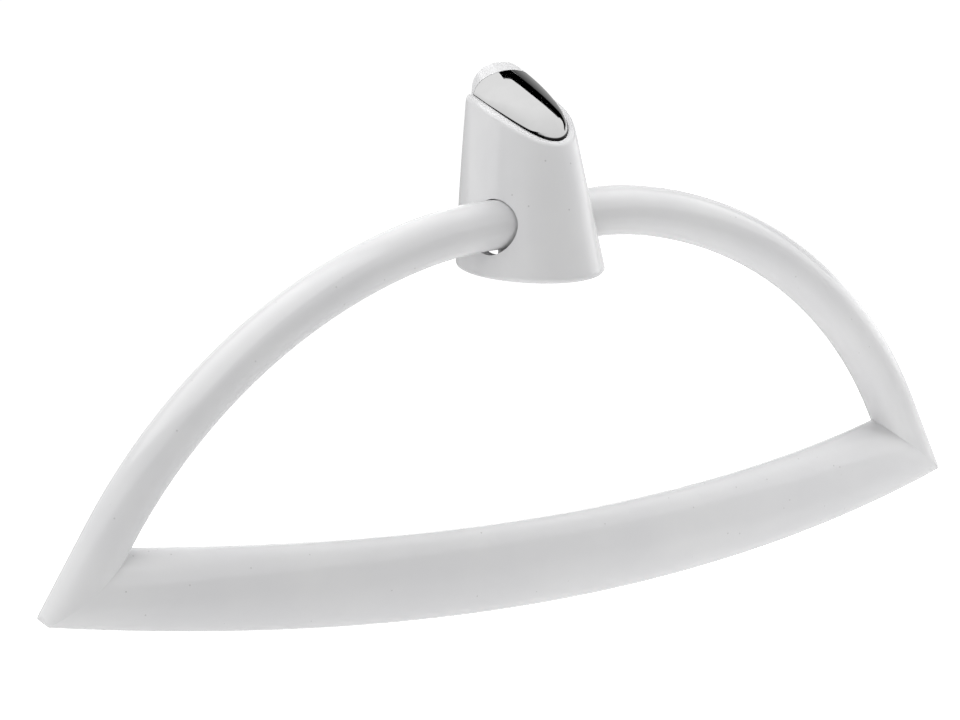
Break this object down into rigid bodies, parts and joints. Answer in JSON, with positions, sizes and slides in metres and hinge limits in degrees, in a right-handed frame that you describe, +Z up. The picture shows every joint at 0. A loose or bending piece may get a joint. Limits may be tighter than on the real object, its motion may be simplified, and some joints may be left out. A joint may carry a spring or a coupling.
{
  "type": "towel ring",
  "caption": "White moulded towel ring: a round bow closed by a wide bowed bar swings from a tapered wall post with a chromed crown, for hanging a hand towel.",
  "frame": {"origin": "on the wall, midway between the two wall screws", "axes": "+X to the right seen from the front, +Y into the wall, +Z up; the object stands on the -Y side"},
  "size_m": [0.2442, 0.031, 0.1179],
  "materials": {
    "white_moulding": "gloss",
    "chrome_plate": "polished",
    "plate_moulding": "matt",
    "screw_steel": "satin"
  },
  "bodies": {
    "bracket": {"post_cover": "white_moulding", "crown_inlay": "chrome_plate", "wall_plate": "plate_moulding", "set_screw": "screw_steel"},
    "ring": {"ring": "white_moulding"}
  },
  "joints": [
    {"name": "ring_swing", "type": "hinge", "parent": "bracket", "child": "ring", "pos_m": [0, -0.016, -0.0075], "axis": [-1, 0, 0], "range_deg": [-1.4, 182.4]}
  ]
}
